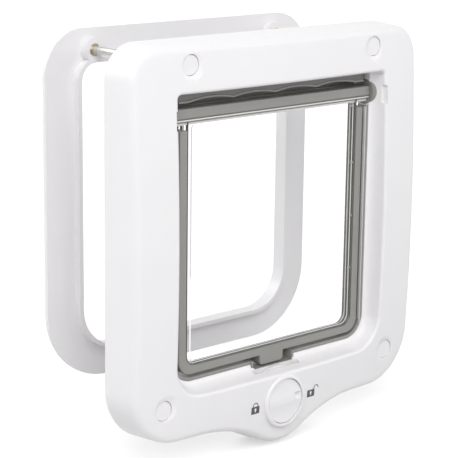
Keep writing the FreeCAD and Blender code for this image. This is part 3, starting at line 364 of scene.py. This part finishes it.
housing_low, housing_high = corners_mm("hinge_housing")
housing_plastic = moulded("housing_taupe_painted_shade", TAUPE, rough=0.32, shade=0.05)
housing_tree = housing_plastic.node_tree
housing_paint = housing_tree.nodes["Principled BSDF"]
plain = housing_paint.inputs["Base Color"].links[0].from_node
spot = housing_tree.nodes.new("ShaderNodeTexCoord")
parts = housing_tree.nodes.new("ShaderNodeSeparateXYZ")
# Painted shade: the colour steps darker with depth, behind the bead and inside the housing.
depth = ranged(housing_tree, housing_low.y * MM, (housing_low.y + PAINTED_SHADE_DEPTH) * MM, 0, 1)
painted_shade_ramp = housing_tree.nodes.new("ShaderNodeValToRGB")
painted_shade_ramp.color_ramp.interpolation = "CONSTANT"
painted_shade_ramp.color_ramp.elements[1].position = PAINTED_SHADE_TONES[-1][0]
for position, tone in PAINTED_SHADE_TONES[1:-1]:
    painted_shade_ramp.color_ramp.elements.new(position)
for element, (position, tone) in zip(painted_shade_ramp.color_ramp.elements, PAINTED_SHADE_TONES):
    element.color = (tone, tone, tone, 1)
painted_shade_mix = housing_tree.nodes.new("ShaderNodeMix")
painted_shade_mix.data_type = "RGBA"
painted_shade_mix.blend_type = "MULTIPLY"
painted_shade_mix.inputs["Factor"].default_value = 1
join_up(housing_tree, spot, "Object", parts, "Vector")
join_up(housing_tree, parts, "Y", depth, "Value")
join_up(housing_tree, depth, "Result", painted_shade_ramp, "Fac")
join_up(housing_tree, plain, "Result", painted_shade_mix, "A")
join_up(housing_tree, painted_shade_ramp, "Color", painted_shade_mix, "B")
join_up(housing_tree, painted_shade_mix, "Result", housing_paint, "Base Color")
dress("hinge_housing", "frame", housing_plastic)
for side, sign in (("left", -1), ("right", 1)):
    near, far = sorted((sign * (housing_high.x - INSET), sign * (housing_high.x + PLATE_WIDE)))
    slat(f"housing_plate_{side}", "frame", liner_plastic,
         (near, housing_high.y - HOUSING_WALL, housing_low.z),
         (far, housing_high.y, housing_high.z - INSET))

# Side strips: a pale strip down each side of the throat, beside the surround, that shows as a light line.
# Each lies on the liner's inner wall, from above the tray to just under the top.
SIDE_STRIP_COLOUR = (0.62, 0.61, 0.62)
FLAP_GAP = 2.6
SIDE_STRIP_AT = 0.6
SIDE_STRIP_THICK = 0.5
SIDE_STRIP_SUNK = 0.05
SIDE_STRIP_WIDE = 1.7
SIDE_STRIP_FOOT = 14.0
SIDE_STRIP_TOP = 0.5
pale_side_strip = moulded("pale_side_strip", SIDE_STRIP_COLOUR, rough=0.35, shade=0.03)
liner_low, liner_high = corners_mm("liner")
surround_low, surround_high = corners_mm("flap_surround")
inner_wall = surround_high.x + FLAP_GAP
for side, sign in (("left", -1), ("right", 1)):
    near, far = sorted((sign * (inner_wall - SIDE_STRIP_THICK), sign * (inner_wall + SIDE_STRIP_SUNK)))
    slat(f"side_strip_{side}", "frame", pale_side_strip,
         (near, liner_low.y + SIDE_STRIP_AT, liner_low.z + SIDE_STRIP_FOOT),
         (far, liner_low.y + SIDE_STRIP_AT + SIDE_STRIP_WIDE, liner_high.z - SIDE_STRIP_TOP))

# Rail and surround: the taupe mouldings that swing with the pane and hold it by its edges.
# The rail has a drip ridge on top, behind, a bead along its face and a wiper under it, both pale as a
# painted highlight.
# Painted highlight: this pale colour on the bead, the wiper and the glazing cords stands in for light on
# them.
PAINTED_HIGHLIGHT_COLOUR = (0.80, 0.79, 0.77)
RAIL_END = 0.4
STRIP_DEEP = 0.6
RIDGE_DEEP = 1.0
RIDGE_PROUD = 0.55
BEAD_PROUD = 0.06
BEAD_RISE = (0.75, 1.4)
WIPER_PROUD = 1.4
WIPER_FALL = 1.3
flap_plastic = moulded("flap_taupe", TAUPE, rough=0.32, grain=0.025, shade=0.03)
painted_highlight_plastic = moulded("painted_highlight_plastic", PAINTED_HIGHLIGHT_COLOUR, rough=0.2, shade=0.02)
for node in ("hinge_rail", "flap_surround"):
    dress(node, "flap", flap_plastic)
rail_low, rail_high = corners_mm("hinge_rail")
pane_low, pane_high = corners_mm("flap_pane")
rail_end = rail_high.x - RAIL_END
rail_strips = {
    "rail_ridge": (flap_plastic, rail_high.y - RIDGE_DEEP, rail_high.y - INSET,
                   rail_high.z - INSET, rail_high.z + RIDGE_PROUD),
    "rail_highlight_bead": (painted_highlight_plastic, rail_low.y - BEAD_PROUD, rail_low.y + STRIP_DEEP,
                  rail_low.z + BEAD_RISE[0], rail_low.z + BEAD_RISE[1]),
    "rail_highlight_wiper": (painted_highlight_plastic, pane_low.y - WIPER_PROUD, pane_low.y + STRIP_DEEP,
                   rail_low.z - WIPER_FALL, rail_low.z + INSET)}
for name, (plastic, near, far, bottom, top) in rail_strips.items():
    slat(name, "flap", plastic, (-rail_end, near, bottom), (rail_end, far, top))

# Tab webs: a thin taupe web on each side of the tab, moulded with the surround at its back.
# It fills the corner between the tab and the surround, so no light falls past the tab.
WEB_SPAN = (8.25, 13.0)
WEB_THICK = 1.1
WEB_RISE = (0.3, 5.6)
web_back = surround_high.y - INSET
for side, sign in (("left", -1), ("right", 1)):
    near, far = sorted(sign * reach for reach in WEB_SPAN)
    slat(f"tab_web_{side}", "flap", flap_plastic,
         (near, web_back - WEB_THICK, surround_low.z + WEB_RISE[0]),
         (far, web_back, surround_low.z + WEB_RISE[1]))

# Pane: clear polycarbonate, polished on both faces, with a raised and bevelled field.
# The rail and the surround grip its edges. Light passes straight through it to what stands behind.
PANE_TINT = (0.99, 0.99, 0.99)
PANE_IOR = 1.3
PANE_SHADOW = (0.96, 0.96, 0.96)
HAZE_PER_METRE = 60
HAZE_ROUGH = 0.02


def maths(tree, operation, first, second):
    """A Math node on two sources, each a (node, output) pair or a plain number."""
    node = tree.nodes.new("ShaderNodeMath")
    node.operation = operation
    for place, source in enumerate((first, second)):
        if isinstance(source, tuple):
            join_up(tree, *source, node, place)
        else:
            node.inputs[place].default_value = source
    return node


clear, clear_tree, clear_glass = shader("clear_pane")
clear_glass.inputs["Base Color"].default_value = (*PANE_TINT, 1)
clear_glass.inputs["Transmission Weight"].default_value = 1
clear_glass.inputs["IOR"].default_value = PANE_IOR
haze = texture(clear_tree, "ShaderNodeTexNoise", HAZE_PER_METRE, Detail=3)
join_up(clear_tree, band(clear_tree, haze, 0, HAZE_ROUGH), "Result", clear_glass, "Roughness")
ray = clear_tree.nodes.new("ShaderNodeLightPath")
through = clear_tree.nodes.new("ShaderNodeBsdfTransparent")
through.inputs["Color"].default_value = (*PANE_SHADOW, 1)
either = maths(clear_tree, "MAXIMUM", (ray, "Is Shadow Ray"), (ray, "Is Diffuse Ray"))
choice = clear_tree.nodes.new("ShaderNodeMixShader")
join_up(clear_tree, either, 0, choice, 0)
join_up(clear_tree, clear_glass, 0, choice, 1)
join_up(clear_tree, through, 0, choice, 2)
join_up(clear_tree, choice, 0, clear_tree.nodes["Material Output"], "Surface")
dress("flap_pane", "flap", clear)

# Glazing: a dark painted-shadow strip lines the surround's inner wall, with a pale painted-highlight
# cord.
# Both follow the same rounded path round the pane, and pass behind the rail at the top.
# Painted shadow: the strip's dark colour stands in for the shade on the surround's inner wall.
PAINTED_SHADOW_COLOUR = (0.11, 0.11, 0.105)
INNER_EDGE = (3.8, 2.2)
INNER_ROUND = 6.0
GLAZING_TUCK = 1
PAINTED_SHADOW_STRIP = {"inward": 0.06, "thick": 0.14, "tall": 2.0, "proud": 1.35}
HIGHLIGHT_CORD = {"inward": 0.5, "thick": 0.5, "tall": 0.5, "proud": 0.25}
PATH_STEPS = 10
SECTION_STEPS = 3
SECTION_ROUND = 0.4
gasket_rubber = moulded("gasket_rubber", PAINTED_SHADOW_COLOUR, rough=0.4, grain=0.01, edge=0.05)


def grown(name, body, slot, tree, **numbers):
    """The plain mesh that a node tree makes from its named inputs, riding on a body."""
    base = stand(f"{name}_base", bpy.data.meshes.new(f"{name}_base"))
    modifier = base.modifiers.new("grow", "NODES")
    modifier.node_group = tree
    for item in tree.interface.items_tree:
        if item.in_out == "INPUT":
            modifier[item.identifier] = numbers[item.name]
    mesh = bpy.data.meshes.new_from_object(base.evaluated_get(bpy.context.evaluated_depsgraph_get()))
    base.modifiers.remove(modifier)
    bpy.data.objects.remove(base)
    mesh.name = name
    mesh.shade_smooth()
    mesh.set_sharp_from_angle(angle=SMOOTH_ANGLE)
    piece = stand(name, mesh)
    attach(piece, body)


def new_tree(name, *labels):
    """A node tree with named inputs that ends in Realize Instances and Set Material."""
    tree = bpy.data.node_groups.new(name, "GeometryNodeTree")
    for label in labels:
        tree.interface.new_socket(label, in_out="INPUT", socket_type="NodeSocketFloat")
    tree.interface.new_socket("Finish", in_out="INPUT", socket_type="NodeSocketMaterial")
    tree.interface.new_socket("Geometry", in_out="OUTPUT", socket_type="NodeSocketGeometry")
    start = tree.nodes.new("NodeGroupInput")
    realize = tree.nodes.new("GeometryNodeRealizeInstances")
    paint = tree.nodes.new("GeometryNodeSetMaterial")
    finish = tree.nodes.new("NodeGroupOutput")
    join_up(tree, realize, "Geometry", paint, "Geometry")
    join_up(tree, start, "Finish", paint, "Material")
    join_up(tree, paint, "Geometry", finish, "Geometry")
    return tree, start, realize


glaze_tree, glaze_in, glaze_out = new_tree(
    "glazing", "Half", "Low", "Top", "Round", "Depth", "Thick", "Tall")
wide = maths(glaze_tree, "MULTIPLY", (glaze_in, "Half"), 2)
tall = maths(glaze_tree, "SUBTRACT", (glaze_in, "Top"), (glaze_in, "Low"))
loop = glaze_tree.nodes.new("GeometryNodeCurvePrimitiveQuadrilateral")
join_up(glaze_tree, wide, 0, loop, "Width")
join_up(glaze_tree, tall, 0, loop, "Height")
rounded = glaze_tree.nodes.new("GeometryNodeFilletCurve")
rounded.mode = "POLY"
rounded.inputs["Count"].default_value = PATH_STEPS
rounded.inputs["Limit Radius"].default_value = True
join_up(glaze_tree, loop, "Curve", rounded, "Curve")
join_up(glaze_tree, glaze_in, "Round", rounded, "Radius")
section = glaze_tree.nodes.new("GeometryNodeCurvePrimitiveQuadrilateral")
join_up(glaze_tree, glaze_in, "Thick", section, "Width")
join_up(glaze_tree, glaze_in, "Tall", section, "Height")
soft = glaze_tree.nodes.new("GeometryNodeFilletCurve")
soft.mode = "POLY"
soft.inputs["Count"].default_value = SECTION_STEPS
corner_size = maths(glaze_tree, "MULTIPLY", (glaze_in, "Thick"), SECTION_ROUND)
join_up(glaze_tree, section, "Curve", soft, "Curve")
join_up(glaze_tree, corner_size, 0, soft, "Radius")
swept = glaze_tree.nodes.new("GeometryNodeCurveToMesh")
join_up(glaze_tree, rounded, "Curve", swept, "Curve")
join_up(glaze_tree, soft, "Curve", swept, "Profile Curve")
both_ends = maths(glaze_tree, "ADD", (glaze_in, "Top"), (glaze_in, "Low"))
middle = maths(glaze_tree, "MULTIPLY", (both_ends, 0), 0.5)
place = glaze_tree.nodes.new("ShaderNodeCombineXYZ")
join_up(glaze_tree, glaze_in, "Depth", place, "Y")
join_up(glaze_tree, middle, 0, place, "Z")
upright = glaze_tree.nodes.new("GeometryNodeTransform")
upright.inputs["Rotation"].default_value = (math.pi / 2, 0, 0)
join_up(glaze_tree, swept, "Mesh", upright, "Geometry")
join_up(glaze_tree, place, "Vector", upright, "Translation")
join_up(glaze_tree, upright, "Geometry", glaze_out, "Geometry")
edge_half, edge_low = pane_high.x - INNER_EDGE[0], pane_low.z + INNER_EDGE[1]
# Each face of the pane gets a strip of painted shadow and a cord of painted highlight.
for face, sign in (("room", -1), ("outer", 1)):
    surface = pane_low.y if sign < 0 else pane_high.y
    for kind, form, painted_light_finish in (("gasket", PAINTED_SHADOW_STRIP, gasket_rubber), ("highlight_cord", HIGHLIGHT_CORD, painted_highlight_plastic)):
        grown(f"{kind}_{face}", "flap", "grey_plastic", glaze_tree, Finish=painted_light_finish,
              Half=(edge_half - form["inward"]) * MM, Low=(edge_low + form["inward"]) * MM,
              Top=(rail_high.z - GLAZING_TUCK) * MM, Round=(INNER_ROUND - form["inward"]) * MM,
              Depth=(surface + sign * form["proud"]) * MM, Thick=form["thick"] * MM,
              Tall=form["tall"] * MM)

# Screws and hinge pins: turned steel, zinc-plated.
# The long screws clamp the door between the frames, the wood screws bite into the door leaf,
# the pins are pressed into the bushes, and one screw holds the wheel on the dial's key.
STEEL = (0.62, 0.62, 0.60)
METAL_SHADE = 0.1
METAL_TONES_PER_METRE = 300
METAL_ROUGH_RANGE = 0.12
RINGS_PER_METRE = 900
RING_STRENGTH = 0.2
RING_DEPTH = 0.02


def metal(name, colour, rough):
    """Turned metal with fine rings and small differences in gloss."""
    material, tree, steel = shader(name)
    steel.inputs["Metallic"].default_value = 1
    tone = texture(tree, "ShaderNodeTexNoise", METAL_TONES_PER_METRE, Detail=3)
    clouded(tree, tone, colour, METAL_SHADE, steel)
    join_up(tree, band(tree, tone, rough, rough + METAL_ROUGH_RANGE), "Result", steel, "Roughness")
    rings = texture(tree, "ShaderNodeTexWave", RINGS_PER_METRE, Distortion=1.5)
    rings.bands_direction = "Y"
    raised(tree, rings, RING_STRENGTH, RING_DEPTH, steel)
    return material


zinc = metal("zinc", STEEL, rough=0.25)
for side in ("left", "right"):
    for kind in ("through_screw", "door_screw", "hinge_pin"):
        dress(f"{kind}_{side}", "frame", zinc)
dress("lock_screw", "lock", zinc)

# Threads: the long screws are threaded at their far end, the wood screws as far as the frame.
# Each thread is a helical ridge, rolled on the shank with one pitch all along.
THREADS = {
    "through_screw": {"radius": 1.93, "pitch": 0.7, "ridge": 0.13, "start": 34.0, "end": 59.2},
    "door_screw": {"radius": 1.95, "pitch": 1.9, "ridge": 0.42, "start": 1.2, "end": 20.0}}
STEPS_PER_TURN = 20
RIDGE_SIDES = 4


def along_y(tree, source, output, x, y, z):
    """Turns what stands along Z to lie along Y, and moves it to three places."""
    place = tree.nodes.new("ShaderNodeCombineXYZ")
    for socket, start in (("X", x), ("Y", y), ("Z", z)):
        join_up(tree, *start, place, socket)
    lay = tree.nodes.new("GeometryNodeTransform")
    lay.inputs["Rotation"].default_value = (-math.pi / 2, 0, 0)
    join_up(tree, source, output, lay, "Geometry")
    join_up(tree, place, "Vector", lay, "Translation")
    return lay


thread_tree, thread_in, thread_out = new_tree(
    "thread", "X", "Start", "Z", "Radius", "Pitch", "Ridge", "Length")
helix = thread_tree.nodes.new("GeometryNodeCurveSpiral")
helix.inputs["Resolution"].default_value = STEPS_PER_TURN
turns = maths(thread_tree, "DIVIDE", (thread_in, "Length"), (thread_in, "Pitch"))
join_up(thread_tree, turns, 0, helix, "Rotations")
join_up(thread_tree, thread_in, "Length", helix, "Height")
for socket in ("Start Radius", "End Radius"):
    join_up(thread_tree, thread_in, "Radius", helix, socket)
ridge = thread_tree.nodes.new("GeometryNodeCurvePrimitiveCircle")
ridge.inputs["Resolution"].default_value = RIDGE_SIDES
join_up(thread_tree, thread_in, "Ridge", ridge, "Radius")
roll_on = thread_tree.nodes.new("GeometryNodeCurveToMesh")
roll_on.inputs["Fill Caps"].default_value = True
join_up(thread_tree, helix, "Curve", roll_on, "Curve")
join_up(thread_tree, ridge, "Curve", roll_on, "Profile Curve")
laid = along_y(thread_tree, roll_on, "Mesh", (thread_in, "X"), (thread_in, "Start"), (thread_in, "Z"))
join_up(thread_tree, laid, "Geometry", thread_out, "Geometry")
for kind, thread in THREADS.items():
    for side in ("left", "right"):
        low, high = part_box(f"{kind}_{side}")
        grown(f"{kind}_thread_{side}", "frame", "steel", thread_tree, Finish=zinc,
              X=(low[0] + high[0]) / 2, Start=thread["start"] * MM, Z=(low[2] + high[2]) / 2,
              Radius=thread["radius"] * MM, Pitch=thread["pitch"] * MM, Ridge=thread["ridge"] * MM,
              Length=(thread["end"] - thread["start"]) * MM)

# Threaded inserts: turned brass, knurled so that they hold in the outer frame's bosses.
# The knurl is a ring of fine teeth along the insert.
INSERT_COLOUR = (0.64, 0.55, 0.38)
KNURL_TEETH = 24
KNURL_SIZE = 0.35
KNURL_SUNK = KNURL_SIZE / 3
KNURL_MARGIN = 0.8
brass = metal("brass", INSERT_COLOUR, rough=0.3)
knurl_tree, knurl_in, knurl_out = new_tree(
    "knurl", "X", "Middle", "Z", "Radius", "Teeth", "Tooth", "Length")
circle = knurl_tree.nodes.new("GeometryNodeMeshCircle")
join_up(knurl_tree, knurl_in, "Teeth", circle, "Vertices")
join_up(knurl_tree, knurl_in, "Radius", circle, "Radius")
tooth = knurl_tree.nodes.new("GeometryNodeMeshCube")
size = knurl_tree.nodes.new("ShaderNodeCombineXYZ")
for socket, source in (("X", "Tooth"), ("Y", "Tooth"), ("Z", "Length")):
    join_up(knurl_tree, knurl_in, source, size, socket)
join_up(knurl_tree, size, "Vector", tooth, "Size")
spread = knurl_tree.nodes.new("GeometryNodeInstanceOnPoints")
spot = knurl_tree.nodes.new("GeometryNodeInputPosition")
facing = knurl_tree.nodes.new("FunctionNodeAlignRotationToVector")
join_up(knurl_tree, spot, "Position", facing, "Vector")
facing.axis = "X"
facing.pivot_axis = "Z"
join_up(knurl_tree, circle, "Mesh", spread, "Points")
join_up(knurl_tree, tooth, "Mesh", spread, "Instance")
join_up(knurl_tree, facing, "Rotation", spread, "Rotation")
laid = along_y(knurl_tree, spread, "Instances", (knurl_in, "X"), (knurl_in, "Middle"), (knurl_in, "Z"))
join_up(knurl_tree, laid, "Geometry", knurl_out, "Geometry")
for side in ("left", "right"):
    dress(f"threaded_insert_{side}", "frame", brass)
    low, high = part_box(f"threaded_insert_{side}")
    grown(f"insert_knurl_{side}", "frame", "brass", knurl_tree, Finish=brass,
          X=(low[0] + high[0]) / 2, Middle=(low[1] + high[1]) / 2, Z=(low[2] + high[2]) / 2,
          Radius=(high[0] - low[0]) / 2 - KNURL_SUNK * MM, Teeth=float(KNURL_TEETH),
          Tooth=KNURL_SIZE * MM, Length=high[1] - low[1] - KNURL_MARGIN * MM)

# Magnets: two black blocks of sintered ferrite, one let into the tab, one in the cup under the tray.
# They hold the flap in the middle when it is shut.
FERRITE_COLOUR = (0.03, 0.03, 0.032)
ferrite = moulded("ferrite", FERRITE_COLOUR, rough=0.5, grain=0.05, edge=0.1)
dress("flap_magnet", "flap", ferrite)
dress("threshold_magnet", "frame", ferrite)

# Floor and light: a pale floor under the object and a white studio round it.
# A soft key lamp stands above and to the left, a weaker one to the right and one behind.
FLOOR_DROP = 0.0005
FLOOR_SIZE = 6.0
FLOOR_COLOUR = (0.62, 0.62, 0.62, 1)
FLOOR_ROUGH = 0.9
FLOOR_SHINE = 0.1
PLAIN_WHITE = (1, 1, 1, 1)
FLOOR_GLOW = 0.52
FAR_GLOW = 0.8
GLOW_FROM = 0.25
GLOW_TO = 1.2
AMBIENT = 0.45
LAMPS = {"key": {"place": (-0.7, -0.9, 1.0), "size": 1.2, "power": 15.8},
         "fill": {"place": (1.2, -1.0, 0.5), "size": 1.0, "power": 3.6},
         "back": {"place": (-0.8, 1.0, 0.9), "size": 0.9, "power": 9.0}}
floor_mesh = bpy.data.meshes.new("floor")
height = cad_box[0][2] - FLOOR_DROP
corners = [(-1, -1), (1, -1), (1, 1), (-1, 1)]
floor_mesh.from_pydata([(x * FLOOR_SIZE, y * FLOOR_SIZE, height) for x, y in corners], [], [(0, 1, 2, 3)])
floor = stand("floor", floor_mesh)


def seen_straight(tree, low, high):
    """A backdrop's strength: high where it is seen straight, mirrored or through the pane, else low."""
    ray = tree.nodes.new("ShaderNodeLightPath")
    seen = maths(tree, "MAXIMUM", (ray, "Is Camera Ray"), (ray, "Is Transmission Ray"))
    mirrored = maths(tree, "MAXIMUM", (seen, 0), (ray, "Is Glossy Ray"))
    strength = ranged(tree, 0, 1, low, high)
    join_up(tree, mirrored, 0, strength, "Value")
    return strength


floor_material, floor_tree, floor_paint = shader("floor_paint")
floor_paint.inputs["Base Color"].default_value = FLOOR_COLOUR
floor_paint.inputs["Roughness"].default_value = FLOOR_ROUGH
floor_paint.inputs["Specular IOR Level"].default_value = FLOOR_SHINE
floor_paint.inputs["Emission Color"].default_value = PLAIN_WHITE
spot = floor_tree.nodes.new("ShaderNodeTexCoord")
away = floor_tree.nodes.new("ShaderNodeVectorMath")
away.operation = "LENGTH"
join_up(floor_tree, spot, "Object", away, "Vector")
glow = ranged(floor_tree, GLOW_FROM, GLOW_TO, FLOOR_GLOW, FAR_GLOW)
join_up(floor_tree, away, "Value", glow, "Value")
lit = maths(floor_tree, "MULTIPLY", (glow, "Result"), (seen_straight(floor_tree, 0, 1), "Result"))
join_up(floor_tree, lit, 0, floor_paint, "Emission Strength")
floor_mesh.materials.append(floor_material)

world = bpy.data.worlds.new("studio")
world.use_nodes = True
sky = world.node_tree.nodes["Background"]
sky.inputs["Color"].default_value = PLAIN_WHITE
join_up(world.node_tree, seen_straight(world.node_tree, AMBIENT, 1), "Result", sky, "Strength")
bpy.context.scene.world = world

for name, light in LAMPS.items():
    lamp_data = bpy.data.lights.new(name, "AREA")
    lamp_data.size = light["size"]
    lamp_data.energy = light["power"]
    lamp = stand(name, lamp_data)
    lamp.location = light["place"]
    lamp.rotation_euler = (-Vector(light["place"])).to_track_quat("-Z", "Y").to_euler()

bpy.context.scene.view_settings.view_transform = "Standard"
